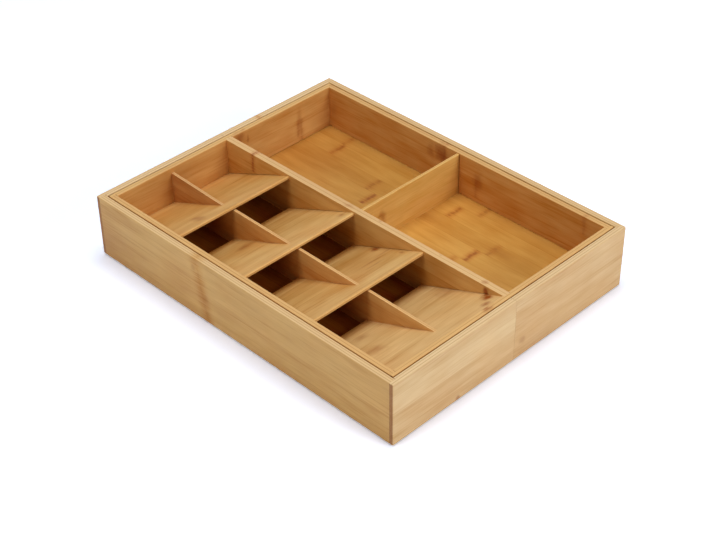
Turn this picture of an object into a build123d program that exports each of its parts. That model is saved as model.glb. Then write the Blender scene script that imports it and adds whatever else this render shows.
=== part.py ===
"""An expanding bamboo cutlery tray for a drawer, in millimetres.

A centre tray holds four overlapping cutlery tiers on its left and two open
compartments on its right. It rides on the floor panels of two outer halves,
which meet round it in the closed tray and slide out to the left and right.

X runs left to right, Y from the front to the back and Z up. The origin is on
the drawer's bottom, under the middle of the closed tray.
"""

from build123d import *
import math
import os

# Whole tray, closed
tray_width = 292.0
tray_depth = 370.0
tray_height = 64.4

# Outer halves
outer_wall = 6.8
outer_lip = 4.2  # what the corner rabbet leaves of a front or back wall
outer_floor_thickness = 3.5
outer_floor_recess = 4.1  # floor panel's underside above the walls' lower edge
outer_floor_tongue = 2.5  # how far the floor panel enters the walls
outer_edge_round = 0.9
seam_gap = 0.15  # between the two closed halves
foot_diameter = 12.0
foot_proud = 1.0  # how far a foot stands below the walls
foot_inset = 16.0  # from the outer faces, and from the seam, to a foot's centre
foot_edge_round = 0.6

# Fit of the centre tray in the halves
slide_gap = 1.0  # between an outer wall and a centre wall
lift_gap = 0.3  # between the outer floors and the centre tray
rim_drop = 0.2  # centre rim below the outer rim

# Centre tray
centre_wall = 5.7
centre_lip = 2.5
centre_floor_thickness = 5.0
centre_floor_recess = 6.0
centre_floor_tongue = 2.5
floor_groove_slack = 0.5  # how much higher than the panel its grooves are
centre_edge_round = 0.6
long_divider_thickness = 7.6
long_divider_offset = 1.2  # its middle, right of the tray's
cross_divider_thickness = 3.0
cross_divider_offset = 0.7  # its middle, in front of the tray's
cross_divider_drop = 1.0  # below the centre rim
cross_slot_slack = 0.8  # how much wider its slots are, on its front side
divider_edge_round = 0.5
housing_depth = 2.0  # slot in which the end of a divider or a ramp is glued

# Cutlery tiers, counted from the back
tier_count = 4
last_ramp_extra = 7.0  # how much longer than the tier pitch the front ramp is
ramp_overhang = 2.5  # a ramp's high edge past the next ramp's low edge
ramp_thickness = 3.0
ramp_low_rise = 6.5  # low edge's top above the centre floor
ramp_high_drop = 0.8  # high edge's top below the centre rim
ramp_slot_slack = 0.5  # how much higher than the ramps their slots are
ramp_nose_share = 0.5  # of a ramp's thickness, rounding on the upper side of its high edge
ramp_nose_under_share = 0.2  # rounding on its under side
ramp_housing_setback = 14.0  # the slots stop short of a ramp's high edge
left_tier_share = 0.4894  # of a tier's clear width, left of its divider
tier_divider_thickness = 3.0
tier_divider_drop = 5.2  # back end of its top below the centre rim
tier_divider_falls = (2.5, 1.0, 1.0, 0.8)  # how much lower the front end of each top is
tier_divider_setback = 12.0  # ends short of the low edge of the ramp above it
tier_divider_round = 0.4

# Guides, glued in the outer halves, run in grooves of the centre tray
guide_length = 25.0
guide_height = 4.6
guide_seat = 2.5  # how deep a guide is glued into the outer wall
guide_reach = 2.0  # how far it enters the centre wall
guide_running_gap = 0.2
guide_seam_margin = 8.0
guide_centre_height = 35.0
groove_stop = 10.0  # solid wood left between a groove and the centre corner

overrun = 1.0  # how far a cutting tool passes an open face

# Planes that the pieces share
outer_x = tray_width / 2
outer_y = tray_depth / 2
outer_inner_x = outer_x - outer_wall
outer_inner_y = outer_y - outer_wall
wall_base = foot_proud
outer_floor_base = wall_base + outer_floor_recess
outer_floor_top = outer_floor_base + outer_floor_thickness
seam_x = seam_gap / 2

centre_x = outer_inner_x - slide_gap
centre_y = outer_inner_y - slide_gap
clear_x = centre_x - centre_wall
clear_y = centre_y - centre_wall
centre_base = outer_floor_top + lift_gap
centre_rim = tray_height - rim_drop
floor_base = centre_base + centre_floor_recess
floor_top = floor_base + centre_floor_thickness
long_divider_x = (
    long_divider_offset - long_divider_thickness / 2,
    long_divider_offset + long_divider_thickness / 2,
)
cross_x = (long_divider_x[1], clear_x)
tier_x = (-clear_x, long_divider_x[0])
tier_clear_width = tier_x[1] - tier_x[0] - tier_divider_thickness
tier_divider_left_x = tier_x[0] + left_tier_share * tier_clear_width
tier_divider_x = (tier_divider_left_x, tier_divider_left_x + tier_divider_thickness)

tier_pitch = (2 * clear_y - last_ramp_extra) / tier_count
ramp_low_z = floor_top + ramp_low_rise
ramp_high_z = centre_rim - ramp_high_drop

guide_inner_x = seam_x + guide_seam_margin
guide_outer_x = guide_inner_x + guide_length
groove_inner_x = guide_inner_x - guide_running_gap
groove_outer_x = centre_x - groove_stop
slide_travel = groove_outer_x - guide_running_gap - guide_outer_x
guide_low_z = guide_centre_height - guide_height / 2
guide_high_z = guide_centre_height + guide_height / 2


def board(x, y, z):
    """A square-edged board between pairs of limits."""
    size = [high - low for low, high in (x, y, z)]
    middle = [(low + high) / 2 for low, high in (x, y, z)]
    return Pos(*middle) * Box(*size)


def ease(piece, radius, axis):
    """Rounds every straight edge along an axis."""
    return fillet(piece.edges().filter_by(axis), radius)


def ease_top(piece, radius, axis):
    """Rounds the highest straight edges along an axis."""
    return fillet(piece.edges().filter_by(axis).group_by(Axis.Z)[-1], radius)


def round_ended_slot(x, y, z):
    """A bar along X with half-round ends, as a router leaves its slot."""
    face = Plane(
        origin=((x[0] + x[1]) / 2, y[0], (z[0] + z[1]) / 2), x_dir=(1, 0, 0), z_dir=(0, 1, 0)
    )
    return extrude(face * SlotOverall(x[1] - x[0], z[1] - z[0]), amount=y[1] - y[0])


def profile_along_x(points, x):
    """Sweeps an outline given in Y and Z between two X limits."""
    outline = Polyline(*[(x[0], y, z) for y, z in points], close=True)
    return extrude(make_face(outline), amount=x[1] - x[0], dir=(1, 0, 0))


# Outer halves: each piece is made for the left or the front, then mirrored


def outer_front_wall():
    """Front wall of the left half, rabbeted at the corner for the side wall."""
    span_z = (wall_base, tray_height)
    wall = board((-outer_x, -seam_x), (-outer_y, -outer_inner_y), span_z)
    rabbet = board(
        (-outer_x - overrun, -outer_inner_x),
        (-outer_y + outer_lip, -outer_inner_y + overrun),
        (wall_base - overrun, tray_height + overrun),
    )
    floor_groove = board(
        (-outer_inner_x - overrun, -seam_x + overrun),
        (-outer_inner_y - outer_floor_tongue, -outer_inner_y + overrun),
        (outer_floor_base, outer_floor_top),
    )
    guide_pocket = round_ended_slot(
        (-guide_outer_x, -guide_inner_x),
        (-outer_inner_y - guide_seat, -outer_inner_y + overrun),
        (guide_low_z, guide_high_z),
    )
    wall = ease(wall, outer_edge_round, Axis.X)
    upright_edges = wall.edges().filter_by(Axis.Z)
    corner = min(upright_edges, key=lambda edge: edge.center().X + edge.center().Y)
    wall = fillet(corner, outer_edge_round)
    return wall - rabbet - floor_groove - guide_pocket


def outer_side_wall():
    """Side wall of the left half, standing in the rabbets of its end walls."""
    end_y = outer_y - outer_lip
    wall = board((-outer_x, -outer_inner_x), (-end_y, end_y), (wall_base, tray_height))
    wall = ease(wall, outer_edge_round, Axis.Y)
    floor_groove = board(
        (-outer_inner_x - outer_floor_tongue, -outer_inner_x + overrun),
        (-outer_y, outer_y),
        (outer_floor_base, outer_floor_top),
    )
    return wall - floor_groove


def outer_floor():
    """Thin floor panel of the left half, on which the centre tray slides."""
    reach_x = outer_inner_x + outer_floor_tongue
    reach_y = outer_inner_y + outer_floor_tongue
    return board((-reach_x, -seam_x), (-reach_y, reach_y), (outer_floor_base, outer_floor_top))


def front_guide():
    """Hardwood slide guide glued into the left half's front wall."""
    return round_ended_slot(
        (-guide_outer_x, -guide_inner_x),
        (-outer_inner_y - guide_seat, -centre_y + guide_reach),
        (guide_low_z, guide_high_z),
    )


def feet():
    """The left half's four soft feet, stuck under its floor panel."""
    places_x = (-outer_x + foot_inset, -seam_x - foot_inset)
    places_y = (-outer_y + foot_inset, outer_y - foot_inset)
    height = outer_floor_base
    pads = []
    for x in places_x:
        for y in places_y:
            pad = Pos(x, y, height / 2) * Cylinder(foot_diameter / 2, height)
            rim = pad.edges().filter_by(GeomType.CIRCLE).sort_by(Axis.Z)[0]
            pads.append(fillet(rim, foot_edge_round))
    return Compound(children=pads)


# Ramps and tier dividers


def ramp_run(tier):
    """A ramp's low and high ends in Y. The front ramp reaches the front wall."""
    low = clear_y - tier * tier_pitch
    is_last = tier == tier_count - 1
    high = -clear_y if is_last else low - tier_pitch - ramp_overhang
    return low, high


def ramp_drop(tier):
    """Thickness of a ramp measured straight down."""
    low, high = ramp_run(tier)
    slope = math.atan2(ramp_high_z - ramp_low_z, low - high)
    return ramp_thickness / math.cos(slope)


def ramp_surface(tier, y):
    """Height of a ramp's upper surface at a place in Y."""
    low, high = ramp_run(tier)
    return ramp_low_z + (ramp_high_z - ramp_low_z) * (low - y) / (low - high)


def ramp_place(tier, z):
    """Place in Y where a ramp's upper surface has a given height."""
    low, high = ramp_run(tier)
    return low - (low - high) * (z - ramp_low_z) / (ramp_high_z - ramp_low_z)


def ramp_outline(tier, high, slack=0):
    """A ramp's side view from its low end to a given high end. Slack raises its upper side."""
    low, drop = ramp_run(tier)[0], ramp_drop(tier)
    return [
        (low, ramp_low_z + slack),
        (high, ramp_surface(tier, high) + slack),
        (high, ramp_surface(tier, high) - drop),
        (low, ramp_low_z - drop),
    ]


def ramp_tongue(tier, slack=0):
    """The part of a ramp that enters its two supports. With slack it is the cut for its slots."""
    high = ramp_run(tier)[1] + ramp_housing_setback
    reach = (tier_x[0] - housing_depth, tier_x[1] + housing_depth)
    return profile_along_x(ramp_outline(tier, high, slack), reach)


def ramp(tier):
    """A sloping shelf for two cutlery compartments, with a rounded high edge."""
    high = ramp_run(tier)[1]
    plank = profile_along_x(ramp_outline(tier, high), tier_x)
    if tier < tier_count - 1:
        under = plank.edges().filter_by(Axis.X).group_by(Axis.Y)[0].sort_by(Axis.Z)[0]
        plank = fillet(under, ramp_thickness * ramp_nose_under_share)
        nose = plank.edges().filter_by(Axis.X).sort_by(Axis.Z)[-1]
        plank = fillet(nose, ramp_thickness * ramp_nose_share)
    return plank + ramp_tongue(tier)


def is_along_top(edge, tip_z, top):
    """Whether an edge runs from the front to the back end of a tier divider's top."""
    heights = sorted(vertex.Z for vertex in edge.vertices())
    return abs(heights[0] - tip_z) < tier_divider_round and abs(heights[-1] - top) < tier_divider_round


def tier_divider(tier):
    """Upright between two compartments. It stands on its ramp and on the floor behind it."""
    low = ramp_run(tier)[0]
    top = centre_rim - tier_divider_drop
    tip_z = top - tier_divider_falls[tier]
    tip = ramp_place(tier, tip_z)
    if tier == 0:
        outline = [(low, ramp_low_z), (tip, tip_z), (low, top)]
    else:
        above = tier - 1
        roof_front = ramp_place(above, top + ramp_drop(above))
        roof_back = ramp_run(above)[0] - tier_divider_setback
        outline = [
            (low, ramp_low_z),
            (tip, tip_z),
            (roof_front, top),
            (roof_back, ramp_surface(above, roof_back) - ramp_drop(above)),
            (roof_back, floor_top),
            (low, floor_top),
        ]
    upright = profile_along_x(outline, tier_divider_x)
    long_edges = [edge for edge in upright.edges() if is_along_top(edge, tip_z, top)]
    return fillet(long_edges, tier_divider_round)


# Centre tray


def guide_groove(side):
    """Groove in the centre front wall for the left or the right half's guide."""
    limits = sorted((side * groove_inner_x, side * groove_outer_x))
    return round_ended_slot(
        limits,
        (-centre_y - overrun, -centre_y + guide_reach + guide_running_gap),
        (guide_low_z - guide_running_gap, guide_high_z + guide_running_gap),
    )


def centre_front_wall():
    """Front wall of the centre tray, rabbeted at both ends for the side walls."""
    span_z = (centre_base, centre_rim)
    cut_z = (centre_base - overrun, centre_rim + overrun)
    wall = board((-centre_x, centre_x), (-centre_y, -clear_y), span_z)
    wall = ease(wall, centre_edge_round, Axis.X)
    for side in (-1, 1):
        rabbet_x = sorted((side * clear_x, side * (centre_x + overrun)))
        wall -= board(rabbet_x, (-centre_y + centre_lip, -clear_y + overrun), cut_z)
        wall -= guide_groove(side)
    wall -= board(
        (-clear_x - overrun, clear_x + overrun),
        (-clear_y - centre_floor_tongue, -clear_y + overrun),
        (floor_base, floor_top + floor_groove_slack),
    )
    housing_y = (-clear_y - housing_depth, -clear_y + overrun)
    wall -= board(long_divider_x, housing_y, (floor_top, centre_rim + overrun))
    return wall


def centre_side_wall():
    """Left wall of the centre tray, before the slots that only one side needs."""
    end_y = centre_y - centre_lip
    wall = board((-centre_x, -clear_x), (-end_y, end_y), (centre_base, centre_rim))
    wall = ease(wall, centre_edge_round, Axis.Y)
    wall -= board(
        (-clear_x - centre_floor_tongue, -clear_x + overrun),
        (-centre_y, centre_y),
        (floor_base, floor_top + floor_groove_slack),
    )
    return wall


def centre_floor():
    """One floor panel under both sides of the centre tray."""
    reach_x = clear_x + centre_floor_tongue
    reach_y = clear_y + centre_floor_tongue
    return board((-reach_x, reach_x), (-reach_y, reach_y), (floor_base, floor_top))


def cross_divider(slack=0):
    """Low divider between the open compartments. With slack it is the cut for its slots."""
    front_y = -cross_divider_offset - cross_divider_thickness / 2
    span_x = (cross_x[0] - housing_depth, cross_x[1] + housing_depth)
    span_y = (front_y - slack, front_y + cross_divider_thickness)
    return board(span_x, span_y, (floor_top, centre_rim - cross_divider_drop))


def long_divider():
    """Thick divider between the cutlery tiers and the open compartments."""
    end_y = clear_y + housing_depth
    divider = board(long_divider_x, (-end_y, end_y), (floor_top, centre_rim))
    return ease_top(divider, divider_edge_round, Axis.Y)


def write(name, piece):
    export_step(piece, os.path.join("parts", name + ".step"))


os.makedirs("parts", exist_ok=True)

front, back = outer_front_wall(), mirror(outer_front_wall(), about=Plane.XZ)
guide = front_guide()
left_half = {
    "side_wall": outer_side_wall(),
    "front_wall": front,
    "back_wall": back,
    "floor_panel": outer_floor(),
    "front_guide": guide,
    "back_guide": mirror(guide, about=Plane.XZ),
    "feet": feet(),
}
for name, piece in left_half.items():
    write("left_" + name, piece)
    write("right_" + name, mirror(piece, about=Plane.YZ))

left_wall, right_wall = centre_side_wall(), mirror(centre_side_wall(), about=Plane.YZ)
divider, cross_slots = long_divider(), cross_divider(cross_slot_slack)
divider -= cross_slots
right_wall -= cross_slots
for tier in range(tier_count):
    ramp_slots = ramp_tongue(tier, ramp_slot_slack)
    left_wall -= ramp_slots
    divider -= ramp_slots
    write(f"ramp_{tier + 1}", ramp(tier))
    write(f"tier_divider_{tier + 1}", tier_divider(tier))

front_wall = centre_front_wall()
write("centre_front_wall", front_wall)
write("centre_back_wall", mirror(front_wall, about=Plane.XZ))
write("centre_left_wall", left_wall)
write("centre_right_wall", right_wall)
write("centre_floor_panel", centre_floor())
write("long_divider", divider)
write("cross_divider", ease_top(cross_divider(), divider_edge_round, Axis.X))

print("each half slides", round(slide_travel, 2))
print("width fully open", round(tray_width + 2 * slide_travel, 2))
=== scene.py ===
# The looks of an expanding bamboo cutlery tray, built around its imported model.
# Sizes and places in the dictionaries are millimetres of the real tray, unless a note says otherwise.
from functools import partial
import math

import bpy
from mathutils import Matrix, Vector


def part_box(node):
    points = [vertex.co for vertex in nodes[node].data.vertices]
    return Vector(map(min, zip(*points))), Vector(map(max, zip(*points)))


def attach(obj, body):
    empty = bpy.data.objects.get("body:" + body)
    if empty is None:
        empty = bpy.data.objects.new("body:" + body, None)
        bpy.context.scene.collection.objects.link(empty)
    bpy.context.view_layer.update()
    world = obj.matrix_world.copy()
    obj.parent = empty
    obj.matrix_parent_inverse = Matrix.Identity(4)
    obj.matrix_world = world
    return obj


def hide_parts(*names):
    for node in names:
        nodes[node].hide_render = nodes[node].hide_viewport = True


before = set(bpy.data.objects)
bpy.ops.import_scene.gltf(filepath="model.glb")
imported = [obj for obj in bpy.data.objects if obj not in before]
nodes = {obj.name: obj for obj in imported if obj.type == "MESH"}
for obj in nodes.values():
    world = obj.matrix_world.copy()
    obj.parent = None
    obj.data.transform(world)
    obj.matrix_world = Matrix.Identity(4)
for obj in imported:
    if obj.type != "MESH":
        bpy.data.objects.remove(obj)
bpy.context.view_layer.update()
millimetre = 0.001
print("frame loaded:", len(nodes), "nodes")


# An sRGB hex colour as the linear one that a shader takes
def linearColour(hexCode):
    channels = [int(hexCode[i:i + 2], 16) / 255 for i in (0, 2, 4)]
    return [c / 12.92 if c <= 0.04045 else ((c + 0.055) / 1.055) ** 2.4 for c in channels] + [1]


# A node with its settings, its values and its links. A node given as a value links its first output.
def addNode(tree, kind, inputs=(), **settings):
    node = tree.nodes.new(kind)
    for name, value in settings.items():
        setattr(node, name, value)
    for socket, value in dict(inputs).items():
        if isinstance(value, bpy.types.Node):
            value = value.outputs[0]
        if isinstance(value, bpy.types.NodeSocket):
            tree.links.new(value, node.inputs[socket])
        else:
            node.inputs[socket].default_value = value
    return node


mixFirst, mixSecond, mixResult = 6, 7, 2  # sockets of a Mix node that mixes colours


# The limits that a Map Range node works between
def span(levels):
    return dict(zip(("From Min", "From Max"), levels))


def newMaterial(name):
    material = bpy.data.materials.new(name)
    material.use_nodes = True
    material.node_tree.nodes.clear()
    return material, material.node_tree


def setMaterial(piece, material):
    piece.data.materials.clear()
    piece.data.materials.append(material)


# Flat-pressed bamboo: strips of split culm about 20 mm wide, planed, glued edge to edge in one
# to three plies, sanded and lacquered satin. The eye sees long fibre streaks, strips of slightly
# different tone with fine glue lines, a row of short brown dashes across a strip at each joint
# of the culm, warmer patches, paler edges of the plies, and brown, dotted end grain.
bamboo = {
    "stripWidth": 20.0,
    "glueLine": 0.4,
    "glueCore": 0.2,  # share of a glue line that shows in full
    "edgeMargin": 0.45,  # keeps a ply's limits off the board's faces
    # Length and width of each kind of streak, wider than real fibres so that they show, and detail
    "fibre": (26.0, 0.9, 2.0),
    "vein": (60.0, 2.2, 3.0),
    "flame": (70.0, 9.0, 2.0),
    "patch": (38.0, 14.0, 2.0),
    "dash": (12.0, 3.6, 1.0),  # the brown dashes of a joint
    "grainWave": (90.0, 5.0),  # how long and how far the fibres wander across
    "cloudSize": 45.0,  # warmer wood, across the strips
    # the next share paints warm shade at the low edge of a ramp, under the one above
    "paintedShadeWarmth": 1.0,  # share of the warm tint at the low edge of a ramp
    "markReach": 400.0,  # span of the places that joint marks may have
    "markCore": 2.4,  # half the thickness of a joint's dashes
    "markHalo": 5.5,  # browner wood on either side of them
    "markWave": (8.0, 2.0),  # how long and how far a joint wanders along the grain
    "spotRagged": 12.0,  # how far a spot's outline wanders
    "spotRaggedMost": 1.6,  # the most of that on a small spot, in shares of its reach
    "spotFade": 0.9,  # width of its soft outline, in shares of its reach
    "endDot": 0.9,  # bundles of fibres in the end grain, coarser than real ones so that they show
    "endDotShares": (0.85, 1.0),
    "stripVariety": 0.12,  # how far a strip's plies stray from its tone
    "deepTone": 0.6,  # tone at which the middle colour of a palette lies
    "relief": 0.05,
    "roughVariety": 0.14,  # how much rougher the deep fibres are than the pale ones
    # From which value of its noise a pattern shows, and from which in full
    "veinLevels": (0.5, 0.72),
    "dashLevels": (0.32, 0.58),
    "cloudLevels": (0.35, 0.7),
    "endDotLevels": (0.35, 0.65),
    # How squarely a surface faces along an axis when it starts to count, and when it does in full
    "plyEdgeFacing": (0.6, 0.9),
    "endFacing": (0.8, 0.95),
    "undersideFacing": (-0.4, -0.8),
    # How far apart the strips' pieces of a noise can lie
    "streakShift": 40.0,
    "rippleShift": 9.0,
    "cloudShift": 3.0,
    # Tints that the wood's colour is multiplied by. The knots' tint also darkens the spots of painted
    # shade, and the warm tint also paints the warm shade at a ramp's low edge
    "warmTint": "FFDDB2",
    "glueTint": "DCCBAF",
    "endTint": "B07A10",
    "knotAndShadeTint": "B0702C",
}


# A board's lowest and highest corners in millimetres, once it is laid flat
def boardLimits(node, tilt):
    turn = Matrix.Rotation(tilt, 3, "X")
    points = [turn @ v.co / millimetre for v in nodes[node].data.vertices]
    return [(min(p[i] for p in points), max(p[i] for p in points)) for i in range(3)]


# The number of the strip or ply at a place, and how near its glue line is, from 0 to 1
def boardLayers(tree, place, low, width):
    share = addNode(tree, "ShaderNodeMapRange", {"Value": place, **span((low, low + width))},
                    clamp=False)
    toLine = addNode(tree, "ShaderNodeMath", {0: share, 1: 0.5}, operation="PINGPONG")
    glueLine = bamboo["glueLine"]
    line = addNode(tree, "ShaderNodeMapRange", {
        "Value": toLine, **span((bamboo["glueCore"] * glueLine / width, glueLine / width)),
        "To Min": 1.0, "To Max": 0.0}, interpolation_type="SMOOTHSTEP")
    return addNode(tree, "ShaderNodeMath", {0: share}, operation="FLOOR"), line


# Material for one board, laid out on the board's own limits
def bambooBoard(node, board):
    material, tree = newMaterial("flatPressedBamboo_" + node)
    add = partial(addNode, tree)
    tilt = board.get("tilt", 0.0)
    limits = boardLimits(node, tilt)
    grainAxis, stripAxis, plyAxis = ("XYZ".index(letter) for letter in board["axes"])
    strips = board["strips"]

    flat = add("ShaderNodeMapping", {
        "Vector": add("ShaderNodeTexCoord").outputs["Object"],
        "Rotation": (tilt, 0, 0), "Scale": [1 / millimetre] * 3})
    flatAxes = add("ShaderNodeSeparateXYZ", {0: flat}).outputs
    along, across, deep = flatAxes[grainAxis], flatAxes[stripAxis], flatAxes[plyAxis]
    firstStrip = board.get("firstStrip", limits[stripAxis][0] - bamboo["edgeMargin"])
    strip, stripLine = boardLayers(tree, across, firstStrip, bamboo["stripWidth"])
    plyLow = limits[plyAxis][0] - bamboo["edgeMargin"]
    plyHigh = limits[plyAxis][1] + bamboo["edgeMargin"]
    ply, plyLine = boardLayers(tree, deep, plyLow, (plyHigh - plyLow) / board["plies"])
    ownPlace = add("ShaderNodeCombineXYZ", {0: strip, 1: ply, 2: board["seed"]})
    own = add("ShaderNodeTexWhiteNoise", {"Vector": ownPlace}, noise_dimensions="3D")

    # Each strip's tone, the places of its two joint marks and their strength, by its number
    stripShare = add("ShaderNodeMapRange", {"Value": strip, **span((-0.5, len(strips) - 0.5))})
    lookup = add("ShaderNodeValToRGB", {0: stripShare})
    lookup.color_ramp.interpolation = "CONSTANT"
    while len(lookup.color_ramp.elements) < len(strips):
        lookup.color_ramp.elements.new(1.0)
    for number, (tone, *marks, strength) in enumerate(strips):
        element = lookup.color_ramp.elements[number]
        element.position = number / len(strips)
        element.color = (tone, *(0.5 + mark / bamboo["markReach"] for mark in marks), strength)
    stripValues = add("ShaderNodeSeparateColor", {0: lookup}).outputs

    # Fibres wander a little, and each strip's are drawn from another part of the noise
    waveLength, waveReach = bamboo["grainWave"]
    wave = add("ShaderNodeTexNoise", {"Vector": flat, "Scale": 1 / waveLength, "Detail": 1.0})
    wandering = add("ShaderNodeMath", {0: wave, 1: waveReach, 2: across}, operation="MULTIPLY_ADD")
    grainPlace = add("ShaderNodeCombineXYZ", {0: along, 1: wandering, 2: deep})

    def shiftedByStrip(place, shift):
        return add("ShaderNodeVectorMath", {0: own.outputs["Color"], 1: [shift] * 3, 2: place},
                   operation="MULTIPLY_ADD")

    def streaks(length, width, detail):
        scale = (1 / length, 1 / width, 1 / width)
        scaled = add("ShaderNodeVectorMath", {0: grainPlace, 1: scale}, operation="MULTIPLY")
        place = shiftedByStrip(scaled, bamboo["streakShift"])
        return add("ShaderNodeTexNoise", {"Vector": place, "Scale": 1.0, "Detail": detail})

    fibre = streaks(*bamboo["fibre"])
    flame = streaks(*bamboo["flame"])
    patch = streaks(*bamboo["patch"])
    vein = add("ShaderNodeMapRange", {"Value": streaks(*bamboo["vein"]), **span(bamboo["veinLevels"])},
               interpolation_type="SMOOTHSTEP")

    # Joint marks of the culm: dashes in a row across the strip, in a browner halo
    reach = bamboo["markReach"]
    slant = board.get("slant", 0.0)
    slanted = add("ShaderNodeMath", {0: across, 1: slant, 2: along}, operation="MULTIPLY_ADD")
    alongShare = add("ShaderNodeMapRange", {"Value": slanted, **span((-reach / 2, reach / 2))},
                     clamp=False)
    rippleLength, rippleReach = bamboo["markWave"]
    ripplePlace = shiftedByStrip(flat, bamboo["rippleShift"])
    ripple = add("ShaderNodeTexNoise", {"Vector": ripplePlace, "Scale": 1 / rippleLength, "Detail": 2.0})
    rippleShare = 2 * rippleReach / reach
    rippled = add("ShaderNodeMath", {0: ripple, 1: rippleShare, 2: alongShare}, operation="MULTIPLY_ADD")
    rippled = add("ShaderNodeMath", {0: rippled, 1: rippleShare / 2}, operation="SUBTRACT")
    fromMarks = []
    for markPlace in stripValues[1:3]:
        away = add("ShaderNodeMath", {0: rippled, 1: markPlace}, operation="SUBTRACT")
        fromMarks.append(add("ShaderNodeMath", {0: away}, operation="ABSOLUTE"))
    fromMark = add("ShaderNodeMath", dict(enumerate(fromMarks)), operation="MINIMUM")

    def nearMark(key):
        markShare = board.get(key, bamboo[key]) / reach
        return add("ShaderNodeMapRange", {
            "Value": fromMark, **span((0.0, markShare)), "To Min": 1.0, "To Max": 0.0},
            interpolation_type="SMOOTHSTEP")

    dashes = add("ShaderNodeMapRange", {"Value": streaks(*bamboo["dash"]), **span(bamboo["dashLevels"])},
                 interpolation_type="SMOOTHSTEP")
    core = add("ShaderNodeMath", {0: nearMark("markCore"), 1: dashes}, operation="MULTIPLY")
    halo = add("ShaderNodeMath", {0: nearMark("markHalo"), 1: fibre}, operation="MULTIPLY")
    stripStrength = lookup.outputs["Alpha"]
    coreShare, haloShare = board["markShares"]
    coreStrength = add("ShaderNodeMath", {0: stripStrength, 1: coreShare}, operation="MULTIPLY")
    haloStrength = add("ShaderNodeMath", {0: stripStrength, 1: haloShare}, operation="MULTIPLY")
    core = add("ShaderNodeMath", {0: core, 1: coreStrength}, operation="MULTIPLY")
    halo = add("ShaderNodeMath", {0: halo, 1: haloStrength}, operation="MULTIPLY", use_clamp=True)

    # Soft brown spots, longer or shorter along the grain: knots and smudges, and some of painted shade
    knotsAndShade = 0.0
    for spot, (spotLength, spotWidth), strength in board.get("spots", ()):
        centre = Matrix.Rotation(tilt, 3, "X") @ Vector(spot)
        shrink = [1 / spotWidth] * 3
        shrink[grainAxis] = 1 / spotLength
        away = add("ShaderNodeVectorMath", {0: flat, 1: centre}, operation="SUBTRACT")
        away = add("ShaderNodeVectorMath", {0: away, 1: shrink}, operation="MULTIPLY")
        away = add("ShaderNodeVectorMath", {0: away}, operation="LENGTH").outputs["Value"]
        ragged = min(bamboo["spotRaggedMost"], bamboo["spotRagged"] / max(spotLength, spotWidth))
        away = add("ShaderNodeMath", {0: ripple, 1: ragged, 2: away}, operation="MULTIPLY_ADD")
        smudgeAndShade = add("ShaderNodeMapRange", {
            "Value": away, **span((ragged / 2, ragged / 2 + bamboo["spotFade"])),
            "To Min": strength, "To Max": 0.0}, interpolation_type="SMOOTHSTEP")
        knotsAndShade = add("ShaderNodeMath", {0: smudgeAndShade, 1: knotsAndShade}, operation="MAXIMUM")

    # Which way the surface faces tells edges of the plies, end grain and undersides, which get painted
    # shade
    normal = add("ShaderNodeNewGeometry").outputs["True Normal"]
    facing = add("ShaderNodeSeparateXYZ", {0: normal}).outputs
    endFacing = add("ShaderNodeMath", {0: facing[grainAxis]}, operation="ABSOLUTE")
    edgeFacing = add("ShaderNodeMath", {0: facing[stripAxis]}, operation="ABSOLUTE")
    edgeColour, edgeShare = board["edge"]
    plyEdge = add("ShaderNodeMapRange", {
        "Value": edgeFacing, **span(bamboo["plyEdgeFacing"]), "To Max": edgeShare})
    dots = add("ShaderNodeTexNoise", {"Vector": flat, "Scale": 1 / bamboo["endDot"], "Detail": 1.0})
    endGrain = add("ShaderNodeMapRange", {
        "Value": endFacing, **span(bamboo["endFacing"]), "To Max": board["endShare"]})
    leastDot, mostDot = bamboo["endDotShares"]
    dotted = add("ShaderNodeMapRange", {
        "Value": dots, **span(bamboo["endDotLevels"]), "To Min": leastDot, "To Max": mostDot})
    endGrain = add("ShaderNodeMath", {0: endGrain, 1: dotted}, operation="MULTIPLY")
    underside = add("ShaderNodeMapRange", {
        "Value": facing[2], **span(bamboo["undersideFacing"]), "To Max": board["undersideShade"]})

    # Tone runs from 0, the palest wood, through its common deep tone to 1, the darkest. Each pattern
    # adds its strength to it above the middle value given here, and takes from it below; undersides
    # take painted shade.
    tone = stripValues[0]
    for pattern, strength, middle in (
        (fibre, board["fibre"], 0.5), (flame, board["flame"], 0.5), (patch, board["patch"], 0.5),
        (vein, board["vein"], 0.2), (own.outputs["Value"], bamboo["stripVariety"], 0.5),
        (stripLine, board["glue"], 0.0), (underside, 1.0, 0.0),
    ):
        offset = add("ShaderNodeMath", {0: pattern, 1: middle}, operation="SUBTRACT")
        tone = add("ShaderNodeMath", {0: offset, 1: strength, 2: tone}, operation="MULTIPLY_ADD")
    wood = add("ShaderNodeValToRGB", {0: tone})
    wood.color_ramp.elements.new(bamboo["deepTone"])
    tones = (0.0, bamboo["deepTone"], 1.0)
    for element, position, colour in zip(wood.color_ramp.elements, tones, board["palette"]):
        element.position = position
        element.color = linearColour(colour)

    # Warmer wood in clouds, and warm painted shade at the low edge of a ramp, under the one above
    cloudPlace = shiftedByStrip(flat, bamboo["cloudShift"])
    cloud = add("ShaderNodeTexNoise", {
        "Vector": cloudPlace, "Scale": 1 / bamboo["cloudSize"], "Detail": 2.0})
    warm = add("ShaderNodeMapRange", {
        "Value": cloud, **span(bamboo["cloudLevels"]), "To Max": board["warm"]},
        interpolation_type="SMOOTHSTEP")
    if "paintedShadeWidth" in board:
        lowEdge = limits[stripAxis][1]
        paintedEdgeShade = add("ShaderNodeMapRange", {
            "Value": across, **span((lowEdge - board["paintedShadeWidth"], lowEdge)),
            "To Max": bamboo["paintedShadeWarmth"]}, interpolation_type="SMOOTHSTEP")
        warm = add("ShaderNodeMath", {0: warm, 1: paintedEdgeShade}, operation="MAXIMUM")

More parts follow.
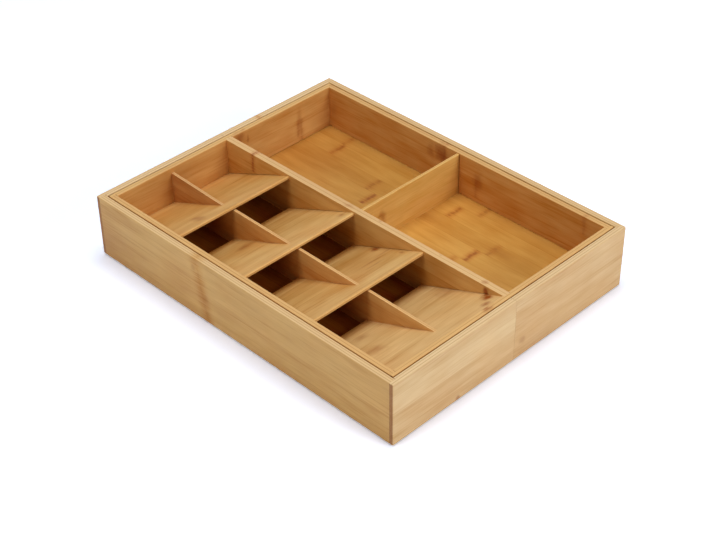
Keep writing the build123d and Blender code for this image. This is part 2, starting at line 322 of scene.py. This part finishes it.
    dashTint, haloTint = board["markTints"]
    for amount, colour, blend in (
        (warm, bamboo["warmTint"], "MULTIPLY"), (plyEdge, edgeColour, "MIX"),
        (plyLine, bamboo["glueTint"], "MULTIPLY"), (endGrain, bamboo["endTint"], "MULTIPLY"),
        (halo, haloTint, "MULTIPLY"), (core, dashTint, "MULTIPLY"),
        (knotsAndShade, bamboo["knotAndShadeTint"], "MULTIPLY"),
    ):
        wood = add("ShaderNodeMix", {0: amount, mixFirst: wood, mixSecond: linearColour(colour)},
                   data_type="RGBA", blend_type=blend).outputs[mixResult]

    height = add("ShaderNodeMath", {0: fibre, 1: stripLine}, operation="SUBTRACT")
    bump = add("ShaderNodeBump", {
        "Height": height, "Distance": bamboo["relief"] * millimetre, "Strength": 0.5})
    rough = add("ShaderNodeMath", {0: fibre, 1: bamboo["roughVariety"], 2: board["roughness"]},
                operation="MULTIPLY_ADD")
    shader = add("ShaderNodeBsdfPrincipled", {
        "Base Color": wood, "IOR": 1.5, "Specular IOR Level": 0.25, "Roughness": rough, "Normal": bump})
    add("ShaderNodeOutputMaterial", {0: shader})
    return material


# Boards that look alike. "palette" is the palest, the common deep and the darkest colour; "fibre",
# "flame", "patch", "vein" and "glue" say how much each of these shows in the tone, "warm" how much
# warmer the wood is in places. "markShares" and "markTints" are of a joint's dashes and of its
# halo. "edge" is the colour of the plies' edges and how much of it shows, "endShare" how brown the
# end grain is, and the underside value how much deeper the tone is on an underside: painted shade,
# for the dark hollows under the ramps.
outerFace = {
    "palette": ("E4C898", "C3935A", "7C4A20"), "markTints": ("B88444", "E6B468"),
    "markShares": (0.3, 1.4), "plies": 3, "fibre": 0.22, "flame": 0.32, "patch": 0.34, "vein": 0.15,
    "glue": 0.1, "warm": 0.15, "edge": ("E8CA9C", 0.6), "endShare": 0.85, "undersideShade": 0.0,
    "roughness": 0.42}
outerSideFace = {
    **outerFace, "palette": ("DEB774", "B67F38", "7C4A20"), "markTints": ("BC8C40", "E2BC58"),
    "markShares": (0.2, 1.7), "markHalo": 12.0}
centreFace = {
    **outerFace, "palette": ("E0B26E", "BB7628", "66360F"), "markTints": ("A4683A", "D89C68"),
    "markShares": (0.65, 1.3), "plies": 2, "flame": 0.35, "patch": 0.5, "vein": 0.14, "warm": 0.2,
    "edge": ("E4BF82", 0.5)}
floorFace = {
    **centreFace, "palette": ("E4B25C", "B6761F", "8A380E"), "markTints": ("A8683A", "D89A60"),
    "markShares": (0.8, 0.8), "plies": 1, "fibre": 0.12, "flame": 0.28, "patch": 0.35, "vein": 0.05}
insertFace = {
    **centreFace, "palette": ("E8BA74", "C47E36", "66300F"), "flame": 0.4, "edge": ("E8C088", 0.5)}
# A ramp's underside takes a deeper tone: painted shade for the dark hollow beneath it
rampFace = {
    **insertFace, "palette": ("E8BE7A", "C0863A", "66300F"), "fibre": 0.17, "flame": 0.32, "vein": 0.18,
    "warm": 0.3, "edge": ("DDB070", 0.45), "undersideShade": 0.6}

# A ramp's rise over its run, to lay it flat for the pattern. The front ramp runs further.
rampRise, rampRun, frontRampRun = 37.0, 86.5, 91.0
rampTilt = math.atan2(rampRise, rampRun)
frontRampTilt = math.atan2(rampRise, frontRampRun)
no = 199.0  # place of a joint mark that is off the board


# A strip without joint marks
def bare(tone):
    return tone, no, no, 1


# What differs from board to board. "axes" are those along the grain, across the strips and through
# the plies, "seed" picks its own part of the noise, and "firstStrip" is where the strips start. A
# strip is (tone, first mark, second mark, strength of the marks), counted up along its axis, and a
# mark's place is counted along the grain; "slant" leans the marks. A spot is (place, (reach along
# the grain, reach across), strength): most are knots and smudges, a few are painted shade. A ramp's
# edge width says how far up from its low edge a warm painted shade reaches, under the ramp above.
boards = {
    "left_front_wall": {
        **outerFace, "axes": "XZY", "seed": 1.0, "firstStrip": -7.6,
        "spots": [((-70, -185, 4), (4, 4), 0.55)],
        "strips": [bare(0.31), bare(0.28), bare(0.18), bare(0.2)]},
    "right_front_wall": {
        **outerFace, "axes": "XZY", "seed": 2.0, "firstStrip": -7.6,
        "spots": [((10, -185, 17), (9, 7), 0.3), ((28, -185, 8), (45, 18), 0.13)],
        "strips": [bare(0.3), bare(0.28), bare(0.28), bare(0.27)]},
    "left_back_wall": {
        **outerFace, "axes": "XZY", "seed": 3.0, "firstStrip": -7.6,
        "strips": [(0.35, no, -53, 1), (0.3, no, -49, 1), (0.3, -96, no, 0.6), bare(0.25)]},
    "right_back_wall": {
        **outerFace, "axes": "XZY", "seed": 4.0, "firstStrip": -7.6,
        "strips": [bare(0.3), (0.4, 43, no, 1), (0.3, 47, no, 0.8), (0.2, 46, no, 0.6)]},
    "left_side_wall": {
        **outerSideFace, "axes": "YZX", "seed": 5.0, "firstStrip": -10.6, "slant": -0.2,
        "spots": [
            ((-145, 175, 18), (110, 56), 0.24), ((-145, 52, 52), (5, 6), 0.22),
            ((-145, 39, 26), (5, 6), 0.25), ((-145, 38, 11), (4, 6), 0.22)],
        "strips": [
            (0.28, 37, no, 0.8), (0.33, 37, no, 0.75), (0.25, 37, no, 0.75), (0.26, 37, no, 0.6)]},
    "right_side_wall": {
        **outerSideFace, "axes": "YZX", "seed": 6.0, "firstStrip": -10.6,
        "strips": [(0.35, -60, no, 1), (0.4, -60, no, 1), (0.35, -57, 130, 1), bare(0.25)]},
    "left_floor_panel": {
        **floorFace, "axes": "YXZ", "seed": 7.0,
        "strips": [
            (0.3, 60, -90, 1), (0.5, 20, no, 1), (0.4, -40, 120, 1), (0.3, 90, -60, 1), (0.4, 0, no, 1),
            (0.35, 75, no, 1), (0.3, -20, 140, 1), (0.4, 30, no, 1)]},
    "right_floor_panel": {
        **floorFace, "axes": "YXZ", "seed": 8.0,
        "strips": [
            (0.4, -30, 110, 1), (0.3, 50, no, 1), (0.5, -80, 70, 1), (0.3, 10, no, 1),
            (0.3, -50, 130, 1), (0.45, 95, no, 1), (0.4, 35, -110, 1), (0.35, -10, no, 1)]},
    "centre_front_wall": {
        **centreFace, "axes": "XZY", "seed": 9.0, "firstStrip": 5.0,
        "spots": [((-24, -173, 64), (10, 6), 0.7)],
        "strips": [(0.4, 40, no, 1), (0.4, no, -70, 1), bare(0.3)]},
    "centre_back_wall": {
        **centreFace, "axes": "XZY", "seed": 10.0, "firstStrip": 5.0,
        "spots": [
            ((13, 171.5, 57), (12, 12), 0.6), ((24, 171.5, 53), (2.5, 9), 0.45),
            ((20, 174, 64), (5, 3), 0.35), ((91, 171.5, 40), (6, 26), 0.42),
            ((-75, 171.5, 48), (75, 32), 0.2)],
        "strips": [(0.24, 94, no, 0.35), (0.22, 89, 94, 0.3), bare(0.22)]},
    "centre_left_wall": {
        **centreFace, "axes": "YZX", "seed": 11.0, "firstStrip": 5.0,
        "strips": [(0.3, 30, no, 1), (0.35, -110, no, 1), bare(0.3)]},
    "centre_right_wall": {
        **centreFace, "axes": "YZX", "seed": 12.0, "firstStrip": 5.0,
        "spots": [
            ((132.5, 20, 54), (15, 16), 0.75), ((132.5, 33, 52), (8, 13), 0.45),
            ((132.5, -26, 44), (10, 17), 0.45), ((132.5, 165, 40), (9, 20), 0.2)],
        "strips": [bare(0.45), (0.4, -24, no, 0.25), (0.45, 16, -150, 0.3)]},
    "centre_floor_panel": {
        **floorFace, "axes": "YXZ", "seed": 13.0, "firstStrip": -143.3, "markCore": 3.2,
        "markHalo": 7.0, "markShares": (0.6, 1.2), "fibre": 0.18,
        "spots": [
            ((64, 152, 20), (150, 150), 0.37), ((87, -95, 20), (22, 10), 0.2),
            ((86, -12, 20), (26, 17), 0.22)],
        "strips": [
            # the first seven strips, under the tiers, are dark: painted shade for the hollows under the
            # ramps
            bare(0.8), bare(0.8), bare(0.82), bare(0.84), bare(0.88),
            bare(0.88), bare(0.88), (0.32, 30, no, 0.5), (0.35, no, -20, 0.5),
            (0.29, -69, no, 0.5), (0.22, 52, -77.5, 0.85), (0.38, 65, -87, 0.45),
            (0.3, 134, -21.5, 0.7), (0.33, 137, -42, 0.5)]},
    "long_divider": {
        **centreFace, "axes": "YZX", "seed": 14.0, "firstStrip": 5.0,
        "palette": ("E2B26A", "B87624", "5C2A0C"), "markTints": ("A46A44", "D89C68"),
        "edge": ("E9C690", 0.65),
        "spots": [
            ((1, 40, 64), (150, 10), 0.14), ((1, 12, 64), (14, 4), 0.5),
            ((-2.6, -154, 59), (5, 8), 0.9), ((1, -150, 64), (5, 4), 0.5), ((3, -25, 64), (5, 3), 0.4),
            ((3.5, -97, 64), (3, 2.5), 0.4)],
        "strips": [bare(0.45), bare(0.4), (0.35, 135, no, 0.8)]},
    "cross_divider": {
        **insertFace, "axes": "XZY", "seed": 15.0, "firstStrip": 5.0, "fibre": 0.3,
        "palette": ("ECC274", "CC943C", "5C2A0C"), "edge": ("E0B470", 0.5),
        "spots": [
            # the spot at x 132 is painted shade where the divider meets the right wall
            ((30, -2.2, 44), (8, 11), 0.6), ((132, -2.2, 45), (4, 30), 0.2),
            ((95, -2.2, 34), (60, 9), 0.1)],
        "strips": [bare(0.35), bare(0.3), bare(0.3)]},
    "ramp_1": {
        **rampFace, "axes": "XYZ", "seed": 16.0, "tilt": rampTilt, "fibre": 0.14, "vein": 0.08,
        # the spot at x -68.9 is painted shade at the foot of the tier divider, partly a dark glue line
        "spots": [((-99, 101, 56), (9, 14), 0.5), ((-68.9, 122, 47.6), (5.2, 30), 0.7)],
        "strips": [bare(0.36)] * 5},
    "ramp_2": {
        **rampFace, "axes": "XYZ", "seed": 17.0, "tilt": rampTilt, "paintedShadeWidth": 17.0,
        "spots": [
            ((-82, 58, 39), (14, 9), 0.5), ((-8, 12, 58), (7, 7), 0.8),
            # painted shade at the foot of the tier divider, partly a dark glue line
            ((-68.9, 36, 48.4), (5.4, 30), 1.0)],
        "strips": [bare(0.3)] * 5},
    "ramp_3": {
        **rampFace, "axes": "XYZ", "seed": 18.0, "tilt": rampTilt, "paintedShadeWidth": 17.0,
        "spots": [
            ((-6, -28, 40), (8, 8), 0.95), ((-7, -62, 54.4), (4, 5), 0.6),
            ((-10, -43, 46), (26, 3), 0.45), ((-28, -46, 47), (26, 2.5), 0.5),
            ((-32, -54, 51), (22, 2), 0.45), ((-30, -40, 45), (45, 40), 0.1),
            # painted shade at the foot of the tier divider, partly a dark glue line
            ((-68.9, -48, 48.4), (5.4, 30), 1.0)],
        "strips": [bare(0.33)] * 5},
    "ramp_4": {
        **rampFace, "axes": "XYZ", "seed": 19.0, "tilt": frontRampTilt, "paintedShadeWidth": 17.0,
        "palette": ("E9C182", "C48B44", "66300F"), "warm": 0.15,
        "spots": [
            ((-3, -155, 57), (6, 9), 1.0), ((-7, -159, 58.5), (9, 10), 1.0),
            ((-18, -167, 61), (9, 6), 0.8), ((-96, -101, 34.7), (14, 9), 0.4),
            ((-110, -130, 46.7), (14, 15), 0.42), ((-9, -115, 40.5), (18, 15), 0.35),
            # painted shade at the foot of the tier divider, partly a dark glue line
            ((-68.9, -133, 47.8), (5.4, 32), 1.0)],
        "strips": [bare(0.18)] * 5},
    "tier_divider_1": {
        **insertFace, "axes": "YZX", "seed": 20.0, "firstStrip": 5.0,
        "palette": ("E2B070", "B8783A", "66300F"),
        "strips": [bare(0.3), bare(0.6), bare(0.5)]},
    "tier_divider_2": {
        **insertFace, "axes": "YZX", "seed": 21.0, "firstStrip": 5.0,
        # painted shade on the divider's left face, under the ramp above
        "spots": [((-70, 120, 38), (32, 70), 0.85)],
        "strips": [bare(0.3), bare(0.48), bare(0.4)]},
    "tier_divider_3": {
        **insertFace, "axes": "YZX", "seed": 22.0, "firstStrip": 5.0,
        # painted shade on the divider's left face, under the ramp above
        "spots": [((-70, 30, 40), (32, 70), 0.8)],
        "strips": [bare(0.3), bare(0.33), bare(0.27)]},
    "tier_divider_4": {
        **insertFace, "axes": "YZX", "seed": 23.0, "firstStrip": 5.0,
        # painted shade on the divider's left face, under the ramp above
        "spots": [((-70, -53, 40), (32, 70), 0.8)],
        "strips": [bare(0.3), bare(0.35), bare(0.3)]},
}
for name, board in boards.items():
    setMaterial(nodes[name], bambooBoard(name, board))
print("bamboo boards finished:", len(boards))

# Slide guides: beech, planed and waxed, close-grained and a little pinker than the bamboo. The eye
# sees fine long streaks and the short dark flecks of its rays.
guide = {
    "pale": "D8B48C",
    "deep": "B98C60",
    "fleckTint": "C49A76",
    "roughness": 0.5,
    "streak": (12.0, 0.5),  # length and width, coarser than real ones so that they show
    "fleck": (2.4, 0.35),
    "fleckLevels": (0.6, 0.7),  # from which value of its noise a fleck shows, and from which in full
    "relief": 0.02,
}


def beechMaterial():
    material, tree = newMaterial("waxedBeech")
    add = partial(addNode, tree)
    coordinates = add("ShaderNodeTexCoord").outputs["Object"]

    def streaks(length, width):
        shrink = [1 / width / millimetre] * 3
        shrink[0] = 1 / length / millimetre
        place = add("ShaderNodeMapping", {"Vector": coordinates, "Scale": shrink})
        return add("ShaderNodeTexNoise", {"Vector": place, "Scale": 1.0, "Detail": 2.0})

    fibre = streaks(*guide["streak"])
    fleck = add("ShaderNodeMapRange", {
        "Value": streaks(*guide["fleck"]), **span(guide["fleckLevels"])})
    wood = add("ShaderNodeMix", {
        0: fibre, mixFirst: linearColour(guide["pale"]), mixSecond: linearColour(guide["deep"])},
        data_type="RGBA").outputs[mixResult]
    wood = add("ShaderNodeMix", {0: fleck, mixFirst: wood, mixSecond: linearColour(guide["fleckTint"])},
               data_type="RGBA", blend_type="MULTIPLY").outputs[mixResult]
    bump = add("ShaderNodeBump", {
        "Height": fibre, "Distance": guide["relief"] * millimetre, "Strength": 0.5})
    shader = add("ShaderNodeBsdfPrincipled", {
        "Base Color": wood, "IOR": 1.5, "Roughness": guide["roughness"], "Normal": bump})
    add("ShaderNodeOutputMaterial", {0: shader})
    return material


beech = beechMaterial()
guides = ("left_front_guide", "left_back_guide", "right_front_guide", "right_back_guide")
for name in guides:
    setMaterial(nodes[name], beech)
print("slide guides finished:", len(guides))

# Feet: round pads of moulded silicone, milky grey, soft-edged and slightly dusty, with rings
# moulded into the underside so that they grip
foot = {
    "colour": "B9B8B2",
    "roughness": 0.6,
    "dust": 0.4,  # size of a speck, coarser than real dust so that it shows
    "dustRoughness": 0.15,
    "dustRelief": 0.02,
    "diameter": 12.0,
    "edge": 0.45,  # rounding of the rim
    "rings": 4.0,
    "ringReach": 0.88,  # share of the radius that they cover
    "ringDepth": 0.2,
    "divisions": (48, 8, 24),  # of a pad's mesh, round it, up its side and from its middle outwards
}


def siliconeMaterial():
    material, tree = newMaterial("mouldedSilicone")
    add = partial(addNode, tree)
    dust = add("ShaderNodeTexNoise", {
        "Vector": add("ShaderNodeTexCoord").outputs["Object"], "Scale": 1 / (foot["dust"] * millimetre)})
    rough = add("ShaderNodeMath", {0: dust, 1: foot["dustRoughness"], 2: foot["roughness"]},
                operation="MULTIPLY_ADD")
    bump = add("ShaderNodeBump", {
        "Height": dust, "Distance": foot["dustRelief"] * millimetre, "Strength": 0.4})
    shader = add("ShaderNodeBsdfPrincipled", {
        "Base Color": linearColour(foot["colour"]), "IOR": 1.41, "Roughness": rough, "Normal": bump})
    add("ShaderNodeOutputMaterial", {0: shader})
    return material


# Geometry nodes that put a pad at each corner of a rectangle, all sizes in metres
def padTree():
    tree = bpy.data.node_groups.new("feetInRectangle", "GeometryNodeTree")
    add = partial(addNode, tree)
    for name, kind in (
        ("Middle", "Vector"), ("Span X", "Float"), ("Span Y", "Float"), ("Diameter", "Float"),
        ("Height", "Float"), ("Edge", "Float"), ("Rings", "Float"), ("Ring Depth", "Float"),
        ("Material", "Material"),
    ):
        tree.interface.new_socket(name, in_out="INPUT", socket_type="NodeSocket" + kind)
    tree.interface.new_socket("Geometry", in_out="OUTPUT", socket_type="NodeSocketGeometry")
    given = add("NodeGroupInput").outputs

    corners = add("GeometryNodeMeshGrid", {
        "Size X": given["Span X"], "Size Y": given["Span Y"], "Vertices X": 2, "Vertices Y": 2})
    radius = add("ShaderNodeMath", {0: given["Diameter"], 1: 2.0}, operation="DIVIDE")
    around, upward, outward = foot["divisions"]
    pad = add("GeometryNodeMeshCylinder", {
        "Vertices": around, "Side Segments": upward, "Fill Segments": outward,
        "Radius": radius, "Depth": given["Height"]})
    place = add("ShaderNodeSeparateXYZ", {0: add("GeometryNodeInputPosition")}).outputs
    flatPlace = add("ShaderNodeCombineXYZ", {0: place[0], 1: place[1]})
    away = add("ShaderNodeVectorMath", {0: flatPlace}, operation="LENGTH").outputs["Value"]

    # The rim pulls in towards the top and bottom, as a quarter round
    halfHeight = add("ShaderNodeMath", {0: given["Height"], 1: 2.0}, operation="DIVIDE")
    level = add("ShaderNodeMath", {0: place[2]}, operation="ABSOLUTE")
    inner = add("ShaderNodeMath", {0: halfHeight, 1: given["Edge"]}, operation="SUBTRACT")
    rise = add("ShaderNodeMath", {0: level, 1: inner}, operation="SUBTRACT")
    rise = add("ShaderNodeMath", {0: rise, 1: given["Edge"]}, operation="DIVIDE")
    rise = add("ShaderNodeMath", {0: rise, 1: 0.0}, operation="MAXIMUM")
    square = add("ShaderNodeMath", {0: rise, 1: rise}, operation="MULTIPLY")
    quarterRound = add("ShaderNodeMath", {0: 1.0, 1: square}, operation="SUBTRACT")
    quarterRound = add("ShaderNodeMath", {0: quarterRound, 1: 0.0}, operation="MAXIMUM")
    quarterRound = add("ShaderNodeMath", {0: quarterRound}, operation="SQRT")
    pull = add("ShaderNodeMath", {0: 1.0, 1: quarterRound}, operation="SUBTRACT")
    pull = add("ShaderNodeMath", {0: pull, 1: given["Edge"]}, operation="MULTIPLY")
    pulled = add("ShaderNodeMath", {0: pull, 1: radius}, operation="DIVIDE")
    shrink = add("ShaderNodeMath", {0: 1.0, 1: pulled}, operation="SUBTRACT")

    # Rings: the flat underside rises and falls in waves, from its middle outwards
    share = add("ShaderNodeMath", {0: away, 1: radius}, operation="DIVIDE")
    wave = add("ShaderNodeMath", {0: share, 1: given["Rings"]}, operation="MULTIPLY")
    wave = add("ShaderNodeMath", {0: wave, 1: 2 * math.pi, 2: math.pi}, operation="MULTIPLY_ADD")
    wave = add("ShaderNodeMath", {0: wave}, operation="COSINE")
    wave = add("ShaderNodeMath", {0: wave, 1: 0.5, 2: 0.5}, operation="MULTIPLY_ADD")
    within = add("ShaderNodeMath", {0: share, 1: foot["ringReach"]}, operation="LESS_THAN")
    below = add("ShaderNodeMath", {0: place[2], 1: 0.0}, operation="LESS_THAN")
    capRise = 0.99  # a place that is this far through the rounding lies on a flat cap
    cap = add("ShaderNodeMath", {0: rise, 1: capRise}, operation="GREATER_THAN")
    depth = add("ShaderNodeMath", {0: wave, 1: given["Ring Depth"]}, operation="MULTIPLY")
    for mask in (within, below, cap):
        depth = add("ShaderNodeMath", {0: depth, 1: mask}, operation="MULTIPLY")
    shrinkFlat = add("ShaderNodeCombineXYZ", {0: shrink, 1: shrink, 2: 1.0})
    position = add("ShaderNodeVectorMath", {0: add("GeometryNodeInputPosition"), 1: shrinkFlat},
                   operation="MULTIPLY")
    shaped = add("GeometryNodeSetPosition", {
        "Geometry": pad, "Position": position, "Offset": add("ShaderNodeCombineXYZ", {2: depth})})

    placed = add("GeometryNodeInstanceOnPoints", {"Points": corners, "Instance": shaped})
    placed = add("GeometryNodeRealizeInstances", {0: placed})
    placed = add("GeometryNodeTransform", {"Geometry": placed, "Translation": given["Middle"]})
    finished = add("GeometryNodeSetMaterial", {"Geometry": placed, "Material": given["Material"]})
    add("NodeGroupOutput", {0: finished})
    return tree


def buildFeet(node, body, tree, material):
    low, high = (Vector(corner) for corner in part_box(node))
    diameter = foot["diameter"] * millimetre
    values = {
        "Middle": (low + high) / 2, "Diameter": diameter, "Height": high.z - low.z,
        "Span X": high.x - low.x - diameter, "Span Y": high.y - low.y - diameter,
        "Edge": foot["edge"] * millimetre, "Rings": foot["rings"],
        "Ring Depth": foot["ringDepth"] * millimetre, "Material": material}
    name = node + "_pads"
    maker = bpy.data.objects.new(name + "_maker", bpy.data.meshes.new(name))
    bpy.context.scene.collection.objects.link(maker)
    modifier = maker.modifiers.new("pads", "NODES")
    modifier.node_group = tree
    for item in tree.interface.items_tree:
        if item.item_type == "SOCKET" and item.in_out == "INPUT":
            modifier[item.identifier] = values[item.name]
    made = bpy.data.meshes.new_from_object(maker.evaluated_get(bpy.context.evaluated_depsgraph_get()))
    maker.modifiers.remove(modifier)
    bpy.data.objects.remove(maker)

    piece = bpy.data.objects.new(name, made)
    bpy.context.scene.collection.objects.link(piece)
    for polygon in made.polygons:
        polygon.use_smooth = True
    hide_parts(node)
    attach(piece, body)


silicone = siliconeMaterial()
feetTree = padTree()
for name, body in (("left_feet", "left_half"), ("right_feet", "right_half")):
    setMaterial(nodes[name], silicone)
    buildFeet(name, body, feetTree, silicone)
print("feet built: 2 sets")

# Studio: a floor in matt pale paint, which the eye sees as even white with a soft shadow, three
# large soft lamps, and a plain surround that is brightest up to the horizon and a little over it
studio = {
    "floorSize": 12.0,  # metres
    "floorColour": "F4F4F4",
    "floorSeenColour": "E6EEFF",  # cooler, against the wood's warm glow beside the tray
    "floorSeenGain": 1.62,  # the camera sees the floor this much brighter than it lights
    # (height of a direction, brightness there), with height 0 at the horizon or lower and 1 overhead
    "surroundLevels": ((0.0, 0.6), (0.35, 0.6), (0.5, 0.2), (1.0, 0.2)),
}
lamps = {  # power in watts, size and place in metres
    "frontLamp": {"power": 22.0, "size": 1.0, "place": (0.5, -2.2, 1.15)},
    "overheadLamp": {"power": 13.0, "size": 1.0, "place": (0.1, 0.1, 1.8)},
    "sideLamp": {"power": 8.0, "size": 0.7, "place": (-1.4, 0.16, 1.6)},
}


# 1 where the studio is seen, directly, in a reflection or through something, and 0 where it lights
def whereSeen(tree):
    path = addNode(tree, "ShaderNodeLightPath").outputs
    seen = addNode(tree, "ShaderNodeMath", {0: path["Is Camera Ray"], 1: path["Is Glossy Ray"]},
                   operation="MAXIMUM")
    return addNode(tree, "ShaderNodeMath", {0: seen, 1: path["Is Transmission Ray"]},
                   operation="MAXIMUM")


def floorMaterial():
    material, tree = newMaterial("paintedStudioFloor")
    seen = whereSeen(tree)
    *seenChannels, opaque = linearColour(studio["floorSeenColour"])
    seenColour = [channel * studio["floorSeenGain"] for channel in seenChannels] + [opaque]
    colour = addNode(tree, "ShaderNodeMix", {
        0: seen, mixFirst: linearColour(studio["floorColour"]), mixSecond: seenColour},
        data_type="RGBA").outputs[mixResult]
    shader = addNode(tree, "ShaderNodeBsdfDiffuse", {"Color": colour})
    addNode(tree, "ShaderNodeOutputMaterial", {0: shader})
    return material


def buildStudio():
    bpy.ops.mesh.primitive_plane_add(size=studio["floorSize"])
    floor = bpy.context.object
    floor.name = "studioFloor"
    setMaterial(floor, floorMaterial())

    world = bpy.data.worlds.new("studioSurround")
    bpy.context.scene.world = world
    world.use_nodes = True
    tree = world.node_tree
    tree.nodes.clear()
    coordinates = addNode(tree, "ShaderNodeTexCoord").outputs["Generated"]
    direction = addNode(tree, "ShaderNodeSeparateXYZ", {0: coordinates})
    level = addNode(tree, "ShaderNodeValToRGB", {0: direction.outputs["Z"]})
    levels = studio["surroundLevels"]
    while len(level.color_ramp.elements) < len(levels):
        level.color_ramp.elements.new(1.0)
    for element, (height, strength) in zip(level.color_ramp.elements, levels):
        element.position = height
        element.color = (strength, strength, strength, 1)
    shown = addNode(tree, "ShaderNodeMix", {
        0: whereSeen(tree), mixFirst: level, mixSecond: linearColour("FFFFFF")},
        data_type="RGBA").outputs[mixResult]
    background = addNode(tree, "ShaderNodeBackground", {"Color": shown, "Strength": 1.0})
    addNode(tree, "ShaderNodeOutputWorld", {0: background})

    for name, lamp in lamps.items():
        light = bpy.data.lights.new(name, "AREA")
        light.shape = "DISK"
        light.size = lamp["size"]
        light.energy = lamp["power"]
        piece = bpy.data.objects.new(name, light)
        bpy.context.scene.collection.objects.link(piece)
        piece.location = lamp["place"]
        piece.rotation_euler = (-piece.location).to_track_quat("-Z", "Y").to_euler()


buildStudio()
print("studio built:", len(lamps), "lamps")

# Camera, worked out from the tray's edges in the photograph, which is 716 by 540 pixels
view = {
    "turn": 44.62,  # degrees from looking straight at the back wall, towards the right
    "down": 37.06,
    "roll": -0.75,
    "focal": 1584.6,  # pixels
    "imageWidth": 716,
    "sensorWidth": 36.0,
    "place": (-806.7, -817.9, 866.6),
}


def buildCamera():
    turn, down, roll = (math.radians(view[key]) for key in ("turn", "down", "roll"))
    ahead = Vector((math.sin(turn) * math.cos(down), math.cos(turn) * math.cos(down), -math.sin(down)))
    right = Vector((math.cos(turn), -math.sin(turn), 0))
    up = right.cross(ahead)
    rolledRight = math.cos(roll) * right + math.sin(roll) * up
    rolledUp = math.cos(roll) * up - math.sin(roll) * right
    data = bpy.data.cameras.new("camera")
    data.sensor_width = view["sensorWidth"]
    data.lens = data.sensor_width * view["focal"] / view["imageWidth"]
    camera = bpy.data.objects.new("camera", data)
    bpy.context.scene.collection.objects.link(camera)
    turned = Matrix((rolledRight, rolledUp, -ahead)).transposed().to_4x4()
    camera.matrix_world = Matrix.Translation(Vector(view["place"]) * millimetre) @ turned
    bpy.context.scene.camera = camera


buildCamera()
print("camera placed")
bpy.context.scene.view_settings.view_transform = "Standard"
